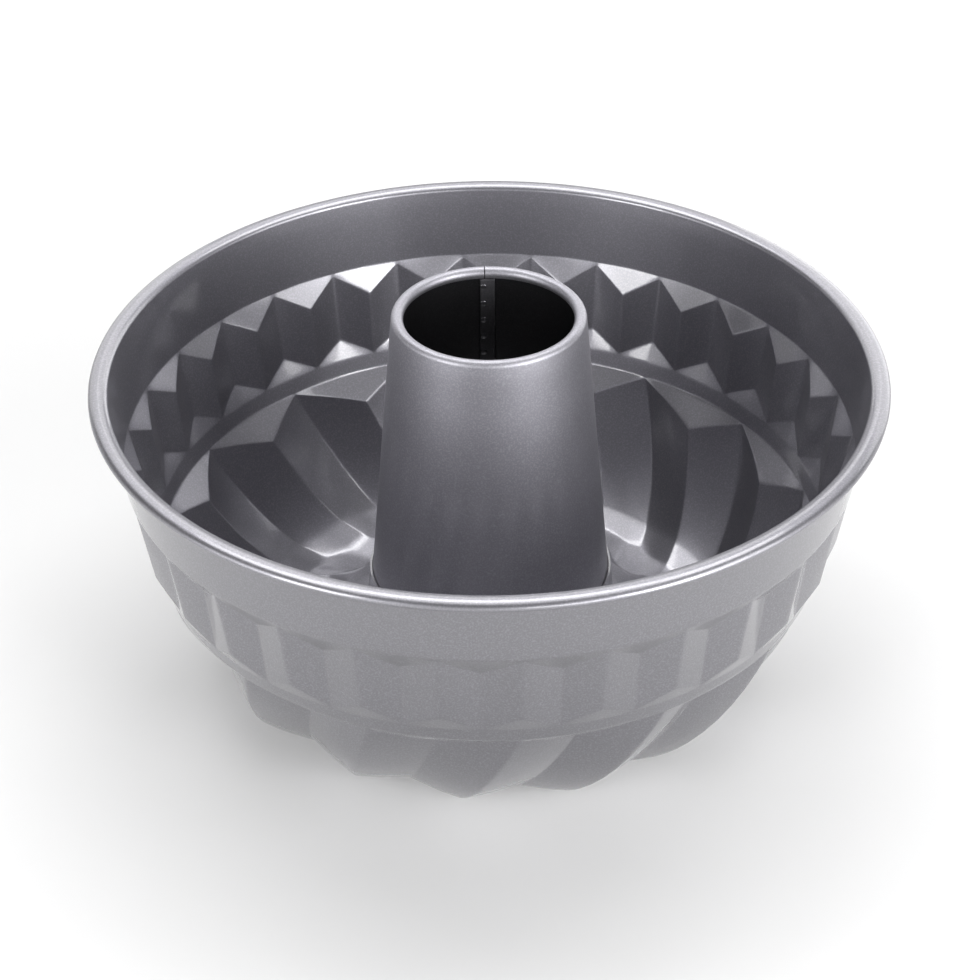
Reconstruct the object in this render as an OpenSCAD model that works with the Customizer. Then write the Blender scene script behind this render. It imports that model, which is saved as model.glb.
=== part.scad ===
// Fluted tube pan: a pressed steel shell with a wired rim, and a rolled tube in its middle.
// The origin lies on the axis at table level, and all lengths are millimetres.

/* [Rim] */
// Diameter over the rolled rim
rim_d = 220; // [205:1:250]
// Height of the rim above the table
rim_h = 98; // [92:1:120]
// Thickness of the steel sheet
sheet_t = 0.6; // [0.5:0.05:0.8]
// Width of the rolled rim, from the wall's inner face outwards
roll_w = 5.4; // [4.6:0.1:8]
// Diameter of the wire inside the rolled rim
wire_d = 1.9; // [1.6:0.1:2.4]
// Clearance around the wire
wire_fit = 0.05; // [0.03:0.01:0.1]
// Gap between the rolled edge and the wall
roll_gap = 0.3; // [0.2:0.1:0.8]

/* [Smooth band] */
// Height of the smooth band, from the top of the rim
band_h = 22.7; // [15:0.1:30]
// How far the band draws in towards its lower edge
band_in = 2.4; // [1.5:0.1:4]

/* [Pleats] */
// Height of the pleat ring
pleat_h = 27.8; // [22:0.1:34]
// Height of the sloping ledge over each pleat
ledge_h = 7.2; // [5:0.1:9]
// Height of the sloping toe under each groove
toe_h = 5.9; // [4:0.1:8]
// How far the grooves draw in from the band to their toe
groove_in = 3.5; // [2:0.1:5]
// How far each pleat stands in from its grooves at the ledge
pleat_depth = 3.3; // [2:0.1:4.5]
// How far the pleats' lower edge lies inside the band's
pleat_in = 6.6; // [5:0.1:8]

/* [Step] */
// Height of the plain step under the pleats
step_h = 4.7; // [3:0.1:7]
// How far the step draws in
step_in = 1.4; // [0.8:0.1:3]

/* [Swirled flutes] */
// Number of flutes; each carries two pleats above it
flutes = 15; // [12:1:18]
// Depth of a flute just under its shelf
flute_depth = 5.9; // [4:0.1:7]
// Depth of a flute where the pan rests
foot_depth = 3; // [2:0.1:4]
// Turn of a flute from the step down to its foot, in degrees
flute_turn = 15.4; // [8:0.1:22]
// Turn of a flute's round end past its foot, in degrees
end_turn = 5; // [2:0.1:8]
// Radius of the circle on which the flutes rest
foot_r = 62.8; // [58:0.1:68]
// Depth by which each flute's crest is pressed flat to stand on
crest_flat = 0.9; // [0.8:0.05:1.2]
// Turn of the whole pattern about the axis, in degrees
pattern_turn = 10.5; // [0:0.5:24]

/* [Floor ring and neck] */
// Outer radius of the plain ring around the tube
ring_r = 50.5; // [49:0.1:54]
// Height of the ring's underside above the table
ring_h = 4.4; // [3:0.1:7]
// Radius of the bend between ring and neck
neck_bend = 13; // [8:0.5:13.5]
// Height of the neck's edge above the table
neck_h = 30; // [26:0.5:36]
// Clearance between neck and tube
neck_fit = 0.1; // [0.05:0.05:0.2]

/* [Centre tube] */
// Height of the tube above the table
tube_h = 114; // [100:1:130]
// Radius of the tube over its top edge
tube_r = 26.8; // [22:0.1:28]
// Draft of the tube's wall, in degrees
tube_draft = 5.2; // [3:0.1:6]
// Outer radius of the edge curled into the tube's mouth
curl_r = 1.7; // [1.4:0.1:2.2]
// Arc of the tube's foot flared under the neck's bend, in degrees
flare_arc = 42; // [25:1:60]
// Width of the lap seam inside the tube
seam_w = 4; // [3:0.1:6]
// Slit where the curled edge meets itself at the seam
seam_slit = 0.4; // [0.3:0.1:0.8]
// Direction of the seam about the axis, in degrees
seam_turn = 92.7; // [60:0.1:120]

/* [Hidden] */
$fn = 180;
steel = [0.52, 0.52, 0.54];
tube_steel = [0.46, 0.46, 0.48];
wire_steel = [0.66, 0.67, 0.68];

// Mesh of the fluted zone: columns in a flute, rows down a flute and rows round its end
cols_in_flute = 8;
flute_rows = 7;
end_rows = 4;
// Ease of the flutes' turn, and shares that shape the flute's line and its shelf
turn_ease = 1.1;
wall_r_share = 0.12;
wall_z_share = 0.44;
foot_r_share = 0.44;
shelf_share = 0.145;
land_share = 0.008;
end_foot_share = 0.45;
end_ring_share = 0.35;
// Height of the land left where two creases meet
crease_land = 0.4;
// Length and side gap of the tongues that tuck the fluted zone into its neighbours
tuck = 0.8;
tuck_gap = 0.4;
tongue_share = 1 / 3;
// Overrun of cuts past the faces they cut, and lap where a wall runs into a bend
over = 1;
lap = 0.2;

rim_r = rim_d / 2;
wall_r = rim_r - roll_w;
band_z = rim_h - band_h;
band_r = wall_r - band_in;
toe_z = band_z - pleat_h;
toe_r = band_r - pleat_in;
step_z = toe_z - step_h;
step_r = toe_r - step_in;
cols = flutes * cols_in_flute;
flute_pitch = 360 / flutes;
pleat_pitch = flute_pitch / 2;

// Rolled rim: the roll is a flattened ring that holds the wire at its outer side
roll_out = wire_d / 2 + wire_fit + sheet_t;
roll_in = roll_out - sheet_t;
roll_z = rim_h - roll_out;
roll_r = rim_r - roll_out;
bend_r = wall_r + roll_out;

// Tube wall: its outer face is a straight line touching the curled edge
curl_z = tube_h - curl_r;
curl_mid = tube_r - curl_r;
draft = tan(tube_draft);
function tube_out(z) = curl_mid + curl_r / cos(tube_draft) + (curl_z - z) * draft;
function tube_in(z) = tube_out(z) - sheet_t / cos(tube_draft);

// Neck: it follows the tube's wall and bends out into the ring
ring_top = ring_h + sheet_t;
bend_z = ring_top + neck_bend;
function neck_in(z) = tube_out(z) + neck_fit / cos(tube_draft);
function neck_out(z) = neck_in(z) + sheet_t / cos(tube_draft);
bend_mid = neck_out(bend_z) + neck_bend / cos(tube_draft);

// Reach of the seam's lap along the straight wall
seam_low = bend_z;
seam_top = curl_z - curl_r;

function mix(a, b, s) = a + (b - a) * s;
function clamp01(s) = min(1, max(0, s));
// 0 on a groove line, 1 on the ridge line half a pitch away
function wave(a, pitch) = 1 - abs(1 - 2 * (a % pitch) / pitch);
function bezier(p, s) =
    pow(1 - s, 3) * p[0] + 3 * pow(1 - s, 2) * s * p[1] + 3 * (1 - s) * s * s * p[2] + pow(s, 3) * p[3];
function slope(p, s) =
    pow(1 - s, 2) * (p[1] - p[0]) + 2 * (1 - s) * s * (p[2] - p[1]) + s * s * (p[3] - p[2]);
function unit(v) = v / norm(v);

// Lines of the flute's channel on its inner face, as radius and height
foot_z = sheet_t - crest_flat;
wall_line = [
    [step_r, step_z],
    [mix(step_r, foot_r, wall_r_share), mix(step_z, foot_z, wall_z_share)],
    [mix(foot_r, step_r, foot_r_share), foot_z],
    [foot_r, foot_z]];
end_line = [
    [foot_r, foot_z],
    [mix(foot_r, ring_r, end_foot_share), foot_z],
    [mix(ring_r, foot_r, end_ring_share), ring_top],
    [ring_r, ring_top]];

// A point of a line, moved off it towards the cake by a depth: radius, height
function raised(line, s, depth) =
    let (d = unit(slope(line, s)))
    bezier(line, s) + depth * [d[1], -d[0]];
function flute_turned(s) = flute_turn * pow(s, turn_ease);

// Rows of the fluted zone, each a function of the column's angle: radius, height, turn
function band_row(a) = let (z = band_z - tuck_gap) [band_r - groove_in * tuck_gap / (pleat_h - toe_h), z, 0];
function ledge_row(a) =
    let (s = wave(a, pleat_pitch), low = mix(tuck_gap + crease_land, ledge_h, s))
    [band_r - groove_in * low / (pleat_h - toe_h) - pleat_depth * s, band_z - low, 0];
function toe_row(a) =
    let (s = wave(a, pleat_pitch))
    [mix(band_r - groove_in, toe_r, s), mix(toe_z + toe_h, toe_z + crease_land, s), 0];
function toe_line(a) = [toe_r, toe_z, 0];
function step_line(a) = [step_r, step_z, 0];
function flute_row(a, k) =
    let (
        w = wave(a, flute_pitch),
        s = mix(mix(land_share, shelf_share, w), 1, k / flute_rows),
        p = raised(wall_line, s, w * mix(flute_depth, foot_depth, s)))
    [p[0], p[1], flute_turned(s)];
function end_row(a, k) =
    let (
        w = wave(a, flute_pitch),
        s = k / end_rows,
        p = raised(end_line, s, w * foot_depth * (1 - s)))
    [p[0], p[1], flute_turn + end_turn * s];

function row_point(i, a) =
    i == 0 ? band_row(a) :
    i == 1 ? ledge_row(a) :
    i == 2 ? toe_row(a) :
    i == 3 ? toe_line(a) :
    i == 4 ? step_line(a) :
    i <= 5 + flute_rows ? flute_row(a, i - 5) :
    end_row(a, i - 5 - flute_rows);
row_last = 5 + flute_rows + end_rows;

function placed(p, a) =
    let (b = a + pattern_turn - p[2])
    [p[0] * cos(b), p[0] * sin(b), p[1]];
function inner_at(i, j) = let (a = j * 360 / cols) placed(row_point(i, a), a);

// Inner points with the crest pressed flat, and outer points one sheet thickness below them
function pressed(p, floor_z) = [p[0], p[1], max(p[2], floor_z)];
inner_grid = [for (i = [0:row_last]) [for (j = [0:cols - 1]) inner_at(i, j)]];
function under(i, j) =
    let (
        up = inner_grid[max(i - 1, 0)][j],
        down = inner_grid[min(i + 1, row_last)][j],
        left = inner_grid[i][(j + cols - 1) % cols],
        right = inner_grid[i][(j + 1) % cols])
    inner_grid[i][j] + sheet_t * unit(cross(right - left, up - down));

// Tongues: thinner rows that reach into the band above and the ring below
function ringed(r, z, j) = let (a = j * 360 / cols + pattern_turn) [r * cos(a), r * sin(a), z];
band_at_tuck = band_r + band_in * tuck / (roll_z - band_z);
tongue = sheet_t * tongue_share;
top_inner = [for (j = [0:cols - 1]) ringed(band_at_tuck + tongue, band_z + tuck, j)];
top_outer = [for (j = [0:cols - 1]) ringed(band_at_tuck + sheet_t - tongue, band_z + tuck, j)];
end_shift = flute_turn + end_turn;
function end_ringed(r, z, j) =
    let (a = j * 360 / cols + pattern_turn - end_shift)
    [r * cos(a), r * sin(a), z];
low_inner = [for (j = [0:cols - 1]) end_ringed(ring_r - tuck - tuck_gap, ring_top - tongue, j)];
low_outer = [for (j = [0:cols - 1]) end_ringed(ring_r - tuck - tuck_gap, ring_h + tongue, j)];

inner_rows = concat(
    [top_inner],
    [for (row = inner_grid) [for (p = row) pressed(p, sheet_t)]],
    [low_inner]);
outer_rows = concat(
    [top_outer],
    [for (i = [0:row_last]) [for (j = [0:cols - 1]) pressed(under(i, j), 0)]],
    [low_outer]);
rows = len(inner_rows);

// Closed skin between the inner and the outer rows
module fluted_zone() {
    points = [for (row = concat(inner_rows, outer_rows)) each row];
    function at(s, i, j) = (s * rows + i) * cols + j % cols;
    faces = concat(
        [for (i = [0:rows - 2]) for (j = [0:cols - 1]) each [
            [at(0, i, j), at(0, i + 1, j), at(0, i + 1, j + 1)],
            [at(0, i, j), at(0, i + 1, j + 1), at(0, i, j + 1)],
            [at(1, i, j), at(1, i + 1, j + 1), at(1, i + 1, j)],
            [at(1, i, j), at(1, i, j + 1), at(1, i + 1, j + 1)]]],
        [for (j = [0:cols - 1]) each [
            [at(0, 0, j), at(0, 0, j + 1), at(1, 0, j + 1)],
            [at(0, 0, j), at(1, 0, j + 1), at(1, 0, j)],
            [at(0, rows - 1, j), at(1, rows - 1, j + 1), at(0, rows - 1, j + 1)],
            [at(0, rows - 1, j), at(1, rows - 1, j), at(1, rows - 1, j + 1)]]]);
    polyhedron(points, faces);
}

// Section of the rolled rim with the smooth band under it
module rim_section() {
    difference() {
        union() {
            translate([roll_r, roll_z]) circle(roll_out);
            translate([bend_r, roll_z]) circle(roll_out);
            translate([bend_r, roll_z - roll_out]) square([roll_r - bend_r, 2 * roll_out]);
        }
        translate([roll_r, roll_z]) circle(roll_in);
        translate([bend_r, roll_z]) circle(roll_in);
        translate([bend_r, roll_z - roll_in]) square([roll_r - bend_r, 2 * roll_in]);
        translate([wall_r - over, roll_z - roll_out - over])
            square([sheet_t + roll_gap + over, roll_out + over - lap]);
    }
    polygon([
        [wall_r, roll_z],
        [wall_r + sheet_t, roll_z],
        [band_r + sheet_t, band_z],
        [band_r, band_z]]);
}

// Section of the plain ring, its bend and the neck
module ring_section() {
    c = cos(tube_draft);
    s = sin(tube_draft);
    reach = neck_bend * 2;
    translate([bend_mid, ring_h]) square([ring_r - bend_mid - tuck_gap, sheet_t]);
    translate([bend_mid, bend_z]) intersection() {
        difference() {
            circle(neck_bend + sheet_t);
            circle(neck_bend);
        }
        polygon([[0, 0], [-reach * c, -reach * s], [-reach, -reach], [0, -reach]]);
    }
    wall_end = [bend_mid, bend_z] + lap * [s, -c];
    polygon([
        wall_end - neck_bend * [c, s],
        wall_end - (neck_bend + sheet_t) * [c, s],
        [neck_in(neck_h), neck_h],
        [neck_out(neck_h), neck_h]]);
}

module pan_shell() {
    color(steel) {
        rotate_extrude() rim_section();
        fluted_zone();
        rotate_extrude() ring_section();
    }
}

// Section of the tube: curled edge, straight wall and flared foot
module tube_section() {
    c = cos(tube_draft);
    s = sin(tube_draft);
    flare_in = neck_bend + sheet_t + neck_fit;
    flare_out = flare_in + sheet_t;
    reach = flare_out * 2;
    end_a = 180 + tube_draft + flare_arc;
    wall_top = [curl_mid, curl_z] + lap * [-s, c];
    wall_end = [bend_mid, bend_z] + lap * [s, -c];
    translate([curl_mid, curl_z]) difference() {
        circle(curl_r);
        circle(curl_r - sheet_t);
        polygon([
            [0, 0],
            [curl_r * 2 * c, curl_r * 2 * s],
            [curl_r * 2, -curl_r * 2],
            [curl_r / 2, -curl_r * 2]]);
    }
    polygon([
        wall_top + curl_r * [c, s],
        wall_top + (curl_r - sheet_t) * [c, s],
        wall_end - flare_out * [c, s],
        wall_end - flare_in * [c, s]]);
    translate([bend_mid, bend_z]) intersection() {
        difference() {
            circle(flare_out);
            circle(flare_in);
        }
        polygon([
            [0, 0],
            [-reach * c, -reach * s],
            [-reach, -reach],
            [reach * cos(end_a), reach * sin(end_a)]]);
    }
}

// Section of the lap inside the tube's wall, sunk into it by half a sheet
module lap_section() {
    polygon([
        [tube_in(seam_low) - sheet_t, seam_low],
        [tube_in(seam_low) + sheet_t / 2, seam_low],
        [tube_in(seam_top) + sheet_t / 2, seam_top],
        [tube_in(seam_top) - sheet_t, seam_top]]);
}

module centre_tube() {
    seam_a = seam_w / tube_in(seam_top) * 180 / PI;
    color(tube_steel) {
        difference() {
            rotate_extrude() tube_section();
            rotate([0, 0, seam_turn])
                translate([curl_mid - curl_r - over, -seam_slit / 2, seam_top])
                    cube([curl_r + over, seam_slit, curl_r * 2 + over]);
        }
        rotate([0, 0, seam_turn - seam_a / 2]) rotate_extrude(angle = seam_a) lap_section();
    }
}

module rim_wire() {
    color(wire_steel)
        rotate_extrude() translate([roll_r, roll_z]) circle(wire_d / 2);
}

pan_shell();
centre_tube();
rim_wire();
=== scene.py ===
import math

import bmesh
import bpy
from mathutils import Matrix, Vector


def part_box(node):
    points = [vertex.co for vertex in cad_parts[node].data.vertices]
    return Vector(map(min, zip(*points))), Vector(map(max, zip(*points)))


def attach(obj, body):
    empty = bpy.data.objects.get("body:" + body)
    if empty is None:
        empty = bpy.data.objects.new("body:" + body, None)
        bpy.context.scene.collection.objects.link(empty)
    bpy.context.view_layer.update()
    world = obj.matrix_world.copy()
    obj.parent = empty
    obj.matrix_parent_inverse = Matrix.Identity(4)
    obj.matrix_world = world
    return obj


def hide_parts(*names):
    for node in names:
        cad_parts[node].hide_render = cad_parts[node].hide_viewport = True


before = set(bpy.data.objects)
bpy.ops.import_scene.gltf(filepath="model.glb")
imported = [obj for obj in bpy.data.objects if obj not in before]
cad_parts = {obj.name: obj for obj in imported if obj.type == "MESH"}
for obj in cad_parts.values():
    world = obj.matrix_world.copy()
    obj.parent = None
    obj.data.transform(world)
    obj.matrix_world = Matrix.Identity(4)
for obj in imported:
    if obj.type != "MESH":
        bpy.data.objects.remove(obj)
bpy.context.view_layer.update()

mm = 0.001
scene = bpy.context.scene

# Where the pan's own pieces lie, read from the frame, in millimetres
shellLow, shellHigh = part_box("pan_shell")
rimHeight = shellHigh.z / mm
rimRadius = -shellLow.x / mm
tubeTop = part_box("centre_tube")[1].z / mm


# Small helpers for numbers and curves

def mixed(a, b, share):
    return a + (b - a) * share


def mixedPoint(p, q, share):
    return tuple(mixed(a, b, share) for a, b in zip(p, q))


def easeInOut(share):
    s = min(1.0, max(0.0, share))
    return s * s * (3 - 2 * s)


def arcPoints(centre, radius, startDeg, endDeg, steps):
    # points of an arc in the (radius, height) plane, both ends included
    points = []
    for k in range(steps + 1):
        a = math.radians(mixed(startDeg, endDeg, k / steps))
        points.append((centre[0] + radius * math.cos(a), centre[1] + radius * math.sin(a)))
    return points


def bezierPoint(line, s):
    weights = ((1 - s) ** 3, 3 * (1 - s) ** 2 * s, 3 * (1 - s) * s * s, s ** 3)
    return tuple(sum(w * p[k] for w, p in zip(weights, line)) for k in (0, 1))


def bezierNormal(line, s):
    # unit normal of the curve, on the cake's side
    steps = [(q[0] - p[0], q[1] - p[1]) for p, q in zip(line, line[1:])]
    weights = ((1 - s) ** 2, 2 * (1 - s) * s, s * s)
    dr = sum(w * d[0] for w, d in zip(weights, steps))
    dz = sum(w * d[1] for w, d in zip(weights, steps))
    size = math.hypot(dr, dz)
    return dz / size, -dr / size


# Materials

def newMaterial(name):
    material = bpy.data.materials.new(name)
    material.use_nodes = True
    nodes = material.node_tree.nodes
    nodes.clear()
    return material, nodes, material.node_tree.links


# The baked coating, as dull metallic flakes under a thin clear layer that is glossiest outside. The pan has
# one coating, but its tone is painted lighter on the tube's face and darker on the outside and in the bore,
# as painted light and painted shade
coatings = {
    "cakeSide": {"base": 0.25, "flake": 0.33, "roughness": 0.45, "clear": 0.6, "clearRoughness": 0.1},
    # painted shade: the outer face's base and flake tones are darker than the cake side's, though the
    # coating is the same
    "underSidePaintedShade": {"base": 0.19, "flake": 0.26, "roughness": 0.45, "clear": 1.0, "clearRoughness": 0.04},
    # painted light: the tube's outer face has lighter base and flake tones than the cake side, though the
    # coating is the same
    "tubeSidePaintedLight": {"base": 0.33, "flake": 0.44, "roughness": 0.53, "clear": 0.15, "clearRoughness": 0.15},
    # painted shade: the bore's inside is nearly black, the shade deep inside the tube painted into its tone
    "boreSidePaintedShade": {"base": 0.06, "flake": 0.08, "roughness": 0.45, "clear": 0.3, "clearRoughness": 0.2},
    "seamSide": {"base": 0.2, "flake": 0.26, "roughness": 0.4, "clear": 0.3, "clearRoughness": 0.2},
}
coatingGrain = {
    "flakeScale": 2200.0,
    "flakeDetail": 2.0,
    "flakeStart": 0.45,
    "flakeEnd": 0.75,
    "cloudScale": 60.0,
    "cloudDetail": 4.0,
    "roughnessSpread": 0.03,
    "bump": 0.08,
    "bumpHeight": 0.00003,
    "clearIor": 1.8,
    "tint": (1.0, 0.985, 1.08),
}


def coatingMaterial(name, look, grain):
    material, nodes, links = newMaterial(name)
    out = nodes.new("ShaderNodeOutputMaterial")
    shader = nodes.new("ShaderNodeBsdfPrincipled")
    shader.inputs["Metallic"].default_value = 1.0
    shader.inputs["Coat Weight"].default_value = look["clear"]
    shader.inputs["Coat Roughness"].default_value = look["clearRoughness"]
    shader.inputs["Coat IOR"].default_value = grain["clearIor"]
    coords = nodes.new("ShaderNodeTexCoord")
    flakes = nodes.new("ShaderNodeTexNoise")
    flakes.inputs["Scale"].default_value = grain["flakeScale"]
    flakes.inputs["Detail"].default_value = grain["flakeDetail"]
    spread = nodes.new("ShaderNodeMapRange")
    spread.inputs["From Min"].default_value = grain["flakeStart"]
    spread.inputs["From Max"].default_value = grain["flakeEnd"]
    tint = nodes.new("ShaderNodeMix")
    tint.data_type = "RGBA"
    for socket, grey in (("A", look["base"]), ("B", look["flake"])):
        tint.inputs[socket].default_value = (*(grey * share for share in grain["tint"]), 1)
    links.new(coords.outputs["Object"], flakes.inputs["Vector"])
    links.new(flakes.outputs["Fac"], spread.inputs["Value"])
    links.new(spread.outputs["Result"], tint.inputs["Factor"])
    links.new(tint.outputs["Result"], shader.inputs["Base Color"])
    clouds = nodes.new("ShaderNodeTexNoise")
    clouds.inputs["Scale"].default_value = grain["cloudScale"]
    clouds.inputs["Detail"].default_value = grain["cloudDetail"]
    rough = nodes.new("ShaderNodeMapRange")
    rough.inputs["To Min"].default_value = look["roughness"] - grain["roughnessSpread"]
    rough.inputs["To Max"].default_value = look["roughness"] + grain["roughnessSpread"]
    links.new(coords.outputs["Object"], clouds.inputs["Vector"])
    links.new(clouds.outputs["Fac"], rough.inputs["Value"])
    links.new(rough.outputs["Result"], shader.inputs["Roughness"])
    bump = nodes.new("ShaderNodeBump")
    bump.inputs["Strength"].default_value = grain["bump"]
    bump.inputs["Distance"].default_value = grain["bumpHeight"]
    links.new(flakes.outputs["Fac"], bump.inputs["Height"])
    links.new(bump.outputs["Normal"], shader.inputs["Normal"])
    links.new(shader.outputs["BSDF"], out.inputs["Surface"])
    return material


finishes = {name: coatingMaterial(name, look, coatingGrain) for name, look in coatings.items()}
print("coatings made:", len(finishes))


# Shared steps of the pieces

def spunLine(points, steps):
    # a line of (radius, height) points spun once round
    bm = bmesh.new()
    verts = [bm.verts.new((r, 0, z)) for r, z in points]
    edges = [bm.edges.new(pair) for pair in zip(verts, verts[1:])]
    bmesh.ops.spin(bm, geom=verts + edges, cent=(0, 0, 0), axis=(0, 0, 1), dvec=(0, 0, 0),
                   angle=math.tau, steps=steps, use_merge=True, use_duplicate=False)
    bmesh.ops.remove_doubles(bm, verts=bm.verts[:], dist=1e-5)
    return bm


def spunSleeve(profile, columns):
    # a straight post with one vertex for each point of the profile, spun into a sleeve
    return spunLine([(1, k) for k in range(len(profile))], columns)


def sleevePlace(v, columns):
    # row and column of a sleeve's vertex
    turn = math.degrees(math.atan2(v.co.y, v.co.x)) % 360
    return round(v.co.z), round(turn / 360 * columns) % columns


def turnOutwards(bm, face, outwards):
    # all faces are made to agree, and then turned by one whose side is known
    bmesh.ops.recalc_face_normals(bm, faces=bm.faces[:])
    centre = face.calc_center_median()
    if (face.normal.dot(Vector((centre.x, centre.y, 0))) > 0) != outwards:
        bmesh.ops.reverse_faces(bm, faces=bm.faces[:])


def newPiece(name, bm, materials):
    # a finished bmesh in millimetres becomes an object in metres
    bmesh.ops.scale(bm, vec=(mm, mm, mm), verts=bm.verts[:])
    for f in bm.faces:
        f.smooth = True
    mesh = bpy.data.meshes.new(name)
    bm.to_mesh(mesh)
    bm.free()
    for material in materials:
        mesh.materials.append(material)
    piece = bpy.data.objects.new(name, mesh)
    scene.collection.objects.link(piece)
    return piece


def thicken(piece, sheet, sharpAngle=50):
    # the sheet gets its thickness, its far side the second material, and its cut edges stay sharp
    wall = piece.modifiers.new("sheet", "SOLIDIFY")
    wall.thickness = sheet * mm
    wall.offset = -1
    wall.use_even_offset = True
    wall.material_offset = 1
    wall.material_offset_rim = 1
    graph = bpy.context.evaluated_depsgraph_get()
    done = bpy.data.meshes.new_from_object(piece.evaluated_get(graph))
    piece.modifiers.clear()
    sleeve = piece.data
    piece.data = done
    bpy.data.meshes.remove(sleeve)
    done.set_sharp_from_angle(angle=math.radians(sharpAngle))
    done.name = piece.name


# Pressed shell

shellSizes = {
    "sheet": 0.6,
    "rollWidth": 5.4,
    "rollHalfHeight": 1.6,
    "rollGap": 0.3,
    "rollSteps": 24,
    "bandHeight": 22.7,
    "bandIn": 2.4,
    "pleatHeight": 27.8,
    "ledgeHeight": 7.2,
    "toeHeight": 5.9,
    "grooveIn": 3.5,
    "pleatDepth": 3.3,
    "pleatIn": 6.6,
    "stepHeight": 4.7,
    "stepIn": 1.4,
    "flutes": 15,
    "fluteDepth": 5.9,
    "footDepth": 3.0,
    "fluteTurn": 15.4,
    "turnEase": 1.1,
    "endTurn": 4.5,
    "endTurnAtFlute": 0.6,
    "endLift": 0.9,
    "footRadius": 62.8,
    "endRadius": 54.5,
    "endRadiusAtCrest": 58.5,
    "crestFlat": 0.9,
    "wallBulge": (0.12, 0.44),
    "footBulge": 0.44,
    "patternTurn": 10.5,
    "ringRadius": 50.0,
    "ringHeight": 4.4,
    "neckBend": 13.0,
    "neckBendSteps": 9,
    "neckHeight": 30.0,
    "neckRadius": 35.1,
    "neckDraft": 5.2,
    "land": 0.4,
    "shelfShares": (0.008, 0.145),
    "flatFrom": 0.75,
    "flatTo": 0.935,
    "softShare": 0.6,
    "softFrom": 6.2,
    "smoothFrom": 0.9,
    "smoothing": 2,
    "footClearance": 0.004,
}

# Shares of a half pleat at which its columns stand, close together at the creases
columnShares = (0, 0.05, 0.13, 0.35, 0.65, 0.87, 0.95)
# Places of the rows between two neighbouring creases of the profile
rowShares = (
    (0.25, 0.5, 0.75, 0.9, 0.96, 0.985),
    (0.05, 0.12, 0.25, 0.5, 0.75, 0.88, 0.95),
    (0.018, 0.045, 0.1, 0.3, 0.5, 0.7, 0.9, 0.955, 0.982),
    (0.07, 0.2, 0.5, 0.8, 0.93),
    (0.1, 0.3, 0.7, 0.9),
    (0.04, 0.1, 0.22, 0.5, 0.78, 0.9, 0.96),
    (0.008, 0.02, 0.045, 0.1, 0.18, 0.26, 0.34, 0.42, 0.5, 0.56, 0.6, 0.62, 0.64, 0.68, 0.74, 0.78,
     0.8, 0.815, 0.835, 0.86, 0.9, 0.94, 0.97, 0.985),
    (0.05, 0.15, 0.35, 0.6, 0.85),
)
fluteZone = 6    # the set of rows that runs along the flute
# Shares of that set at which the flat stretch starts, ends, and the flute's foot is reached
fluteMarks = (0.62, 0.8, 0.86)
neckShares = (0.5, 0.9, 1)


def shellCreases(size):
    # the fixed corners of the shell's inner profile, as (radius, height)
    wall = rimRadius - size["rollWidth"]
    bandZ = rimHeight - size["bandHeight"]
    bandR = wall - size["bandIn"]
    toeZ = bandZ - size["pleatHeight"]
    toeR = bandR - size["pleatIn"]
    return {
        "wallTop": (wall, rimHeight - size["rollHalfHeight"]),
        "band": (bandR, bandZ),
        "toe": (toeR, toeZ),
        "step": (toeR - size["stepIn"], toeZ - size["stepHeight"]),
    }


def fluteLine(size, creases):
    stepR, stepZ = creases["step"]
    footR, footZ = size["footRadius"], size["sheet"] - size["crestFlat"]
    return (
        (stepR, stepZ),
        (mixed(stepR, footR, size["wallBulge"][0]), mixed(stepZ, footZ, size["wallBulge"][1])),
        (mixed(footR, stepR, size["footBulge"]), footZ),
        (footR, footZ),
    )


def shellPoint(size, creases, line, u, pleat, flute):
    # radius, height and turn of the inner face at row u, where whole numbers are creases
    bandR, bandZ = creases["band"]
    toeR, toeZ = creases["toe"]
    drop = mixed(2 * size["land"], size["ledgeHeight"], pleat)
    grooveSlope = size["grooveIn"] / (size["pleatHeight"] - size["toeHeight"])
    ringTop = size["ringHeight"] + size["sheet"]
    shelf = mixed(*size["shelfShares"], flute)

    def fluteAt(s):
        low, high = size["flatFrom"], size["flatTo"]
        if low < s < high:
            # a flat stretch near the foot
            return mixedPoint(fluteAt(low), fluteAt(high), (s - low) / (high - low))
        depth = flute * mixed(size["fluteDepth"], size["footDepth"], s)
        point, normal = bezierPoint(line, s), bezierNormal(line, s)
        turn = size["fluteTurn"] * s ** size["turnEase"]
        return point[0] + depth * normal[0], point[1] + depth * normal[1], turn

    endR = mixed(size["endRadius"], size["endRadiusAtCrest"], flute ** 2)
    endZ = line[3][1] + flute * size["footDepth"] * size["endLift"]
    knots = [
        (*creases["wallTop"], 0),
        (bandR, bandZ, 0),
        (bandR - grooveSlope * drop - size["pleatDepth"] * pleat, bandZ - drop, 0),
        (mixed(bandR - size["grooveIn"], toeR, pleat),
         mixed(toeZ + size["toeHeight"], toeZ + size["land"], pleat), 0),
        (toeR, toeZ, 0),
        (*creases["step"], 0),
        fluteAt(shelf),
        (endR, endZ, size["fluteTurn"] + size["endTurn"] * size["endTurnAtFlute"]),
        (size["ringRadius"], ringTop, size["fluteTurn"] + size["endTurn"]),
    ]
    k = min(int(u), len(knots) - 2)
    share = u - k
    if k != fluteZone:
        return mixedPoint(knots[k], knots[k + 1], share)
    # along the flute: down the curved wall, over the flat stretch and level to the flute's end
    marks = list(zip((0, *fluteMarks), (shelf, size["flatFrom"], size["flatTo"], 1)))
    for (startShare, startS), (endShare, endS) in zip(marks, marks[1:]):
        if share <= endShare:
            return fluteAt(mixed(startS, endS, (share - startShare) / (endShare - startShare)))
    footShare = fluteMarks[-1]
    return mixedPoint(fluteAt(1), knots[k + 1], (share - footShare) / (1 - footShare))


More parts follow.
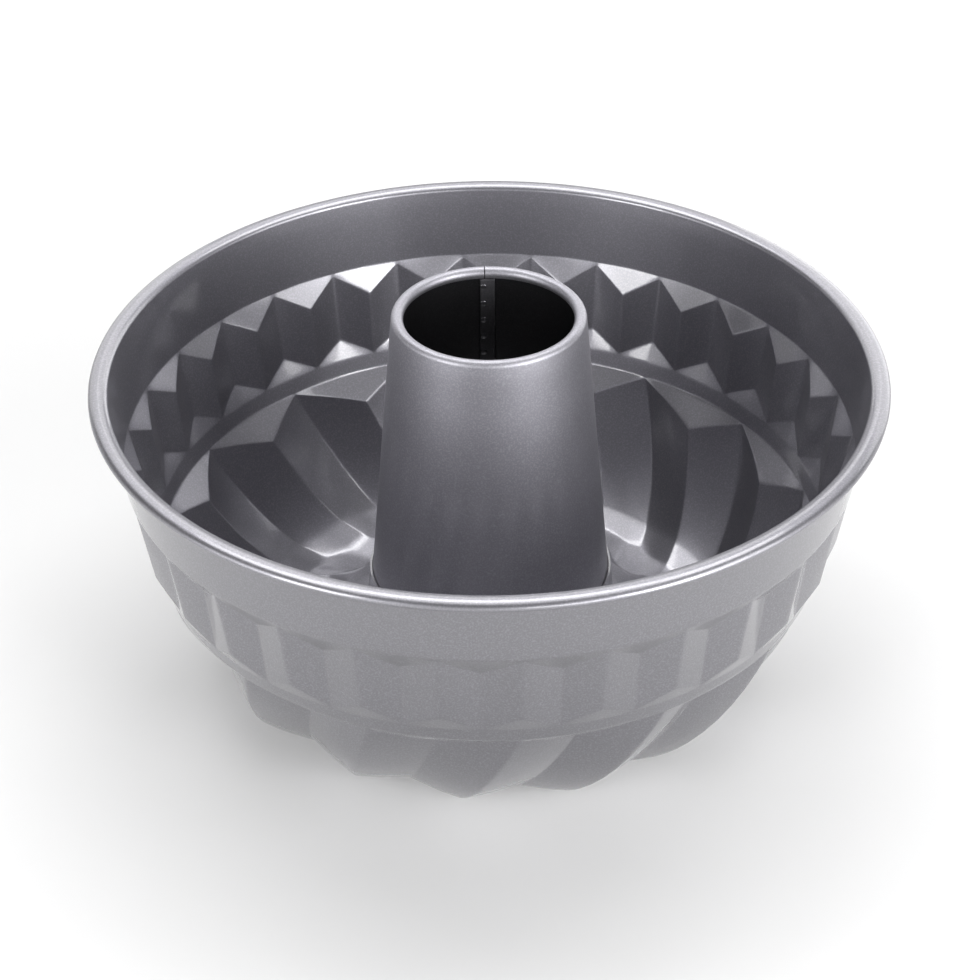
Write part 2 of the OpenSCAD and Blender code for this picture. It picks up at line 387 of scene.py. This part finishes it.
def shellRows(size):
    # every row of the shell, as ("plain", radius, height) or ("fluted", u)
    creases = shellCreases(size)
    wall, rollZ = creases["wallTop"]
    ringTop = size["ringHeight"] + size["sheet"]
    # the rim's oval roll, from its lower edge outwards, over the top and back to the wall
    rows = [("plain", wall + size["sheet"] + size["rollGap"], rollZ - size["rollHalfHeight"])]
    halfWidth = size["rollWidth"] / 2
    for x, y in arcPoints((0, 0), 1, -90, 180, size["rollSteps"])[:-1]:
        rows.append(("plain", rimRadius - halfWidth + halfWidth * x, rollZ + size["rollHalfHeight"] * y))
    for k, shares in enumerate(rowShares):
        rows.append(("fluted", k))
        rows.extend(("fluted", k + share) for share in shares)
    rows.append(("fluted", len(rowShares)))
    draft = math.radians(size["neckDraft"])
    bendZ = ringTop + size["neckBend"]
    wallAtBend = size["neckRadius"] + (size["neckHeight"] - bendZ) * math.tan(draft)
    bendR = wallAtBend + size["neckBend"] / math.cos(draft)
    bendEnd = 180 + size["neckDraft"]
    bend = arcPoints((bendR, bendZ), size["neckBend"], 270, bendEnd, size["neckBendSteps"])
    rows.extend(("plain", r, z) for r, z in bend)
    for share in neckShares:
        z = mixed(bend[-1][1], size["neckHeight"], share)
        rows.append(("plain", size["neckRadius"] + (size["neckHeight"] - z) * math.tan(draft), z))
    return rows


def triangleWave(a, pitch):
    return 1 - abs(1 - 2 * (a % pitch) / pitch)


def makeShell(size):
    creases = shellCreases(size)
    line = fluteLine(size, creases)
    rows = shellRows(size)
    perFlute = 4    # half pleats above each flute
    halfPleats = size["flutes"] * perFlute
    columns = halfPleats * len(columnShares)
    halfPitch = 360 / halfPleats

    bm = spunSleeve(rows, columns)
    print("shell sleeve:", len(bm.verts), "vertices")

    # each vertex of the sleeve is laid where its row and column belong on the pan
    zone = []
    placed = {}
    for v in bm.verts:
        row, column = sleevePlace(v, columns)
        half, step = divmod(column, len(columnShares))
        share = columnShares[step]
        if half % 2:
            # the second half of a pleat mirrors the first
            share = 1 - columnShares[-step] if step else 0
        a = (half + share) * halfPitch
        kind = rows[row]
        if kind[0] == "plain":
            r, z, turn = kind[1], kind[2], 0
            if z < rimHeight / 2:
                turn = size["fluteTurn"] + size["endTurn"]
        else:
            key = (row, column % (perFlute * len(columnShares)))
            if key not in placed:
                pleat = triangleWave(a, 2 * halfPitch)
                flute = triangleWave(a, perFlute * halfPitch)
                soft = 0.5 - 0.5 * math.cos(math.pi * flute)
                flute = mixed(flute, soft, size["softShare"] * easeInOut(kind[1] - size["softFrom"]))
                placed[key] = shellPoint(size, creases, line, kind[1], pleat, flute)
            r, z, turn = placed[key]
            z = max(z, size["sheet"] + size["footClearance"])
            if kind[1] > size["smoothFrom"]:
                zone.append(v)
        b = math.radians(a + size["patternTurn"] - turn)
        v.co = (r * math.cos(b), r * math.sin(b), z)
    for _ in range(size["smoothing"]):
        bmesh.ops.smooth_vert(bm, verts=zone, factor=0.5, use_axis_x=True, use_axis_y=True, use_axis_z=True)
    bandMiddle = rimHeight - size["bandHeight"] / 2
    wallFace = min(bm.faces, key=lambda f: abs(f.calc_center_median().z - bandMiddle))
    turnOutwards(bm, wallFace, False)
    # the outer side takes the coating with painted shade in its tone
    piece = newPiece("panShell", bm, (finishes["cakeSide"], finishes["underSidePaintedShade"]))
    thicken(piece, size["sheet"])
    return piece


shell = makeShell(shellSizes)
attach(shell, "root")
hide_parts("pan_shell")
print("shell made:", len(shell.data.polygons), "faces")


# Centre tube

tubeSizes = {
    "sheet": 0.6,
    "topRadius": 26.8,
    "draft": 5.2,
    "curl": 1.7,
    "curlEnd": 284,
    "curlSteps": 24,
    "neckFit": 0.1,
    "flareArc": 42.0,
    "flareSteps": 8,
    "slit": 0.3,
    "slitTurn": 92.7,
    "columns": 220,
    "wallRows": 16,
}
seamSizes = {
    "turn": 90.8,
    "width": 4.3,
    "steps": 8,
    "topGap": 1.2,
    "cornerAngle": 57,
    "round": 0.18,
    "roundSteps": 2,
    "weldTurn": 2.4,
    "weldTop": 107.0,
    "weldPitch": 5.7,
    "weldRadius": 0.95,
    "weldHeight": 0.22,
    "weldSides": 16,
    "weldRings": 8,
}


def tubeProfile(size, shellSize):
    # the tube's outer face from the curled edge down to the foot flared under the neck
    draft = size["draft"]
    curlMid = (size["topRadius"] - size["curl"], tubeTop - size["curl"])
    curl = arcPoints(curlMid, size["curl"], size["curlEnd"], draft, size["curlSteps"])
    bendZ = shellSize["ringHeight"] + shellSize["sheet"] + shellSize["neckBend"]
    flare = shellSize["neckBend"] + shellSize["sheet"] + size["neckFit"]
    slope = math.tan(math.radians(draft))
    wallAtBend = curl[-1][0] + (curl[-1][1] - bendZ) * slope
    bendMid = wallAtBend + flare / math.cos(math.radians(draft))
    footStart = 180 + draft
    foot = arcPoints((bendMid, bendZ), flare, footStart, footStart + size["flareArc"], size["flareSteps"])
    rows = size["wallRows"]
    wall = [mixedPoint(curl[-1], foot[0], k / rows) for k in range(1, rows)]
    return curl, wall + foot


def makeTube(size, shellSize):
    curl, wall = tubeProfile(size, shellSize)
    rows = curl + wall
    columns = size["columns"]
    bm = spunSleeve(rows, columns)
    # the first and the last column stand at the slit, which is open along the curled edge only
    slitShare = size["slit"] / (math.tau * size["topRadius"])
    cut = []
    for f in bm.faces:
        places = [sleevePlace(v, columns) for v in f.verts]
        if {c for _, c in places} == {0, columns - 1} and max(r for r, _ in places) < len(curl):
            cut.append(f)
    for v in bm.verts:
        row, column = sleevePlace(v, columns)
        share = mixed(slitShare / 2, 1 - slitShare / 2, column / (columns - 1))
        b = math.radians(size["slitTurn"]) + math.tau * share
        r, z = rows[row]
        v.co = (r * math.cos(b), r * math.sin(b), z)
    bmesh.ops.delete(bm, geom=cut, context="FACES")
    wallFace = min(bm.faces, key=lambda f: abs(f.calc_center_median().z - tubeTop / 2))
    turnOutwards(bm, wallFace, True)
    # the tube's face takes the coating with painted light in its tone, its bore the coating with painted
    # shade
    piece = newPiece("centreTube", bm, (finishes["tubeSidePaintedLight"], finishes["boreSidePaintedShade"]))
    thicken(piece, size["sheet"])
    return piece


tube = makeTube(tubeSizes, shellSizes)
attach(tube, "root")
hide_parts("centre_tube")
print("tube made:", len(tube.data.polygons), "faces")


def makeSeam(size, tubeSize, shellSize):
    # the lapped end of the rolled sheet: a strip on the bore's wall, with its row of welds
    curl, wall = tubeProfile(tubeSize, shellSize)
    draft = math.radians(tubeSize["draft"])
    sheet = tubeSize["sheet"]
    high, low = curl[-1], wall[tubeSize["wallRows"] - 1]

    def boreRadius(z):
        return high[0] + (high[1] - z) * math.tan(draft) - sheet / math.cos(draft)

    bm = bmesh.new()
    ends = (low[1], high[1] - tubeSize["curl"] - size["topGap"])
    corners = [(boreRadius(z) + depth, z) for z in ends for depth in (sheet / 2, -sheet)]
    corners = [corners[k] for k in (0, 1, 3, 2)]
    arc = size["width"] / tubeSize["topRadius"]
    start = math.radians(size["turn"]) - arc / 2
    ring = [bm.verts.new((r * math.cos(start), r * math.sin(start), z)) for r, z in corners]
    face = bm.faces.new(ring)
    bmesh.ops.spin(bm, geom=[face], cent=(0, 0, 0), axis=(0, 0, 1), dvec=(0, 0, 0),
                   angle=arc, steps=size["steps"], use_merge=False, use_duplicate=False)
    bmesh.ops.recalc_face_normals(bm, faces=bm.faces[:])
    corner = math.radians(size["cornerAngle"])
    sharp = [e for e in bm.edges if len(e.link_faces) == 2 and e.calc_face_angle() > corner]
    bmesh.ops.bevel(bm, geom=sharp, offset=size["round"], offset_type="OFFSET", affect="EDGES",
                    segments=size["roundSteps"], profile=0.5, material=-1)
    z = size["weldTop"]
    while z > ends[0] + size["weldPitch"]:
        b = math.radians(size["turn"] + size["weldTurn"])
        r = boreRadius(z) - sheet
        flat = Matrix.Diagonal((size["weldHeight"] / size["weldRadius"], 1, 1, 1))
        place = Matrix.Translation((r * math.cos(b), r * math.sin(b), z)) @ Matrix.Rotation(b, 4, "Z")
        bmesh.ops.create_uvsphere(bm, u_segments=size["weldSides"], v_segments=size["weldRings"],
                                  radius=size["weldRadius"],
                                  matrix=place @ Matrix.Rotation(draft, 4, "Y").inverted() @ flat)
        z -= size["weldPitch"]
    return newPiece("tubeSeam", bm, (finishes["seamSide"],))


seam = makeSeam(seamSizes, tubeSizes, shellSizes)
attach(seam, "root")
print("seam made:", len(seam.data.polygons), "faces")


# Rim wire: the frame's own ring, in drawn steel

wireLook = {
    "colour": (0.6, 0.6, 0.61, 1),
    "streakScale": 900.0,
    "smoothest": 0.2,
    "roughest": 0.4,
}


def wireMaterial(look):
    material, nodes, links = newMaterial("bareWire")
    out = nodes.new("ShaderNodeOutputMaterial")
    shader = nodes.new("ShaderNodeBsdfPrincipled")
    shader.inputs["Metallic"].default_value = 1.0
    shader.inputs["Base Color"].default_value = look["colour"]
    coords = nodes.new("ShaderNodeTexCoord")
    streaks = nodes.new("ShaderNodeTexNoise")
    streaks.inputs["Scale"].default_value = look["streakScale"]
    rough = nodes.new("ShaderNodeMapRange")
    rough.inputs["To Min"].default_value = look["smoothest"]
    rough.inputs["To Max"].default_value = look["roughest"]
    links.new(coords.outputs["Object"], streaks.inputs["Vector"])
    links.new(streaks.outputs["Fac"], rough.inputs["Value"])
    links.new(rough.outputs["Result"], shader.inputs["Roughness"])
    links.new(shader.outputs["BSDF"], out.inputs["Surface"])
    return material


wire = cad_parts["rim_wire"]
wire.data.materials.clear()
wire.data.materials.append(wireMaterial(wireLook))
print("wire finished")


# Floor, light and camera

stageLook = {
    "reach": 2.0,
    "sweepRadius": 0.68,
    "sweepSteps": 12,
    "sides": 96,
    "wallHeight": 0.7,
    "paperColour": (0.6, 0.6, 0.6, 1),
    "paperGlow": 0.15,
    "roomStrength": 0.03,
}


def paperMaterial(look):
    # pale paper, lifted to white where the camera or the metal sees it
    material, nodes, links = newMaterial("paper")
    out = nodes.new("ShaderNodeOutputMaterial")
    paper = nodes.new("ShaderNodeBsdfDiffuse")
    paper.inputs["Color"].default_value = look["paperColour"]
    glow = nodes.new("ShaderNodeEmission")
    glow.inputs["Strength"].default_value = look["paperGlow"]
    path = nodes.new("ShaderNodeLightPath")
    seen = path.outputs["Is Camera Ray"]
    for ray in ("Is Glossy Ray", "Is Transmission Ray"):
        either = nodes.new("ShaderNodeMath")
        either.operation = "MAXIMUM"
        links.new(seen, either.inputs[0])
        links.new(path.outputs[ray], either.inputs[1])
        seen = either.outputs["Value"]
    lifted = nodes.new("ShaderNodeAddShader")
    mix = nodes.new("ShaderNodeMixShader")
    links.new(paper.outputs["BSDF"], lifted.inputs[0])
    links.new(glow.outputs["Emission"], lifted.inputs[1])
    links.new(seen, mix.inputs["Fac"])
    links.new(paper.outputs["BSDF"], mix.inputs[1])
    links.new(lifted.outputs["Shader"], mix.inputs[2])
    links.new(mix.outputs["Shader"], out.inputs["Surface"])
    return material


def makeStage(look):
    # a round floor that sweeps up into a low wall
    reach, sweep = look["reach"], look["sweepRadius"]
    curve = arcPoints((reach - sweep, sweep), sweep, 270, 360, look["sweepSteps"])
    bm = spunLine([(0, 0), *curve, (reach, look["wallHeight"])], look["sides"])
    wallFace = max(bm.faces, key=lambda f: f.calc_center_median().z)
    turnOutwards(bm, wallFace, False)
    for f in bm.faces:
        f.smooth = True
    mesh = bpy.data.meshes.new("stage")
    bm.to_mesh(mesh)
    bm.free()
    mesh.materials.append(paperMaterial(look))
    stage = bpy.data.objects.new("floor", mesh)
    scene.collection.objects.link(stage)


def makeRoom(look):
    # the room around the stage gives only a little light
    world = bpy.data.worlds.new("room")
    scene.world = world
    world.use_nodes = True
    nodes, links = world.node_tree.nodes, world.node_tree.links
    nodes.clear()
    out = nodes.new("ShaderNodeOutputWorld")
    soft = nodes.new("ShaderNodeBackground")
    soft.inputs["Strength"].default_value = look["roomStrength"]
    links.new(soft.outputs["Background"], out.inputs["Surface"])


# Softboxes around the pan; the azimuth runs from the camera's side round to its right
lamps = (
    {"name": "frontRight", "azimuth": 45, "elevation": 18, "size": (0.56, 0.95), "power": 17.8},
    {"name": "frontLeft", "azimuth": -45, "elevation": 18, "size": (0.56, 0.95), "power": 13.2},
    {"name": "sideRight", "azimuth": 68, "elevation": 24, "size": (0.56, 1.15), "power": 6.4},
    {"name": "sideLeft", "azimuth": -68, "elevation": 18, "size": (0.56, 0.95), "power": 1.7},
    {"name": "backRight", "azimuth": 146, "elevation": 18, "size": (1.15, 0.95), "power": 7.4},
    {"name": "backLeft", "azimuth": -150, "elevation": 30, "size": (0.8, 1.2), "power": 4.1},
    {"name": "topBack", "azimuth": 180, "elevation": 67, "size": (0.56, 0.56), "power": 4.5},
    {"name": "topWide", "azimuth": 180, "elevation": 78, "size": (1.5, 1.1), "power": 9},
    {"name": "topLeft", "azimuth": -130, "elevation": 62, "size": (0.56, 0.5), "power": 4.2},
    {"name": "topRight", "azimuth": 130, "elevation": 61, "size": (0.56, 0.5), "power": 3.9},
    {"name": "lowFront", "azimuth": 18, "elevation": 14, "size": (0.5, 0.6), "power": 4.0},
    {"name": "backHigh", "azimuth": 180, "elevation": 36, "size": (0.7, 0.5), "power": 2.2},
)
lampDistance = 1.5


def makeLamp(lamp):
    light = bpy.data.lights.new(lamp["name"], "AREA")
    light.shape = "RECTANGLE"
    light.size, light.size_y = lamp["size"]
    light.energy = lamp["power"]
    holder = bpy.data.objects.new(lamp["name"], light)
    scene.collection.objects.link(holder)
    a, e = math.radians(lamp["azimuth"]), math.radians(lamp["elevation"])
    aim = Vector((0, 0, rimHeight * mm / 2))
    back = Vector((math.sin(a) * math.cos(e), -math.cos(a) * math.cos(e), math.sin(e)))
    holder.location = aim + back * lampDistance
    holder.rotation_euler = (-back).to_track_quat("-Z", "Y").to_euler()


cameraFit = {
    "place": (0.02, -560.5, 345.9),
    "pitchDown": 34.74,
    "roll": -0.347,
    "lens": 87.55,
    "sensor": 36.0,
    "near": 0.01,
    "far": 20,
}


def makeCamera(fit):
    data = bpy.data.cameras.new("camera")
    data.lens = fit["lens"]
    data.sensor_width = fit["sensor"]
    data.clip_start = fit["near"]
    data.clip_end = fit["far"]
    camera = bpy.data.objects.new("camera", data)
    scene.collection.objects.link(camera)
    x, y, z = fit["place"]
    place = Matrix.Translation((x * mm, y * mm, (rimHeight + z) * mm))
    tilt = Matrix.Rotation(math.radians(90 - fit["pitchDown"]), 4, "X")
    roll = Matrix.Rotation(math.radians(fit["roll"]), 4, "Z")
    camera.matrix_world = place @ tilt @ roll
    scene.camera = camera


makeStage(stageLook)
makeRoom(stageLook)
for lamp in lamps:
    makeLamp(lamp)
makeCamera(cameraFit)
scene.view_settings.view_transform = "Standard"
print("stage made")

bpy.context.view_layer.update()
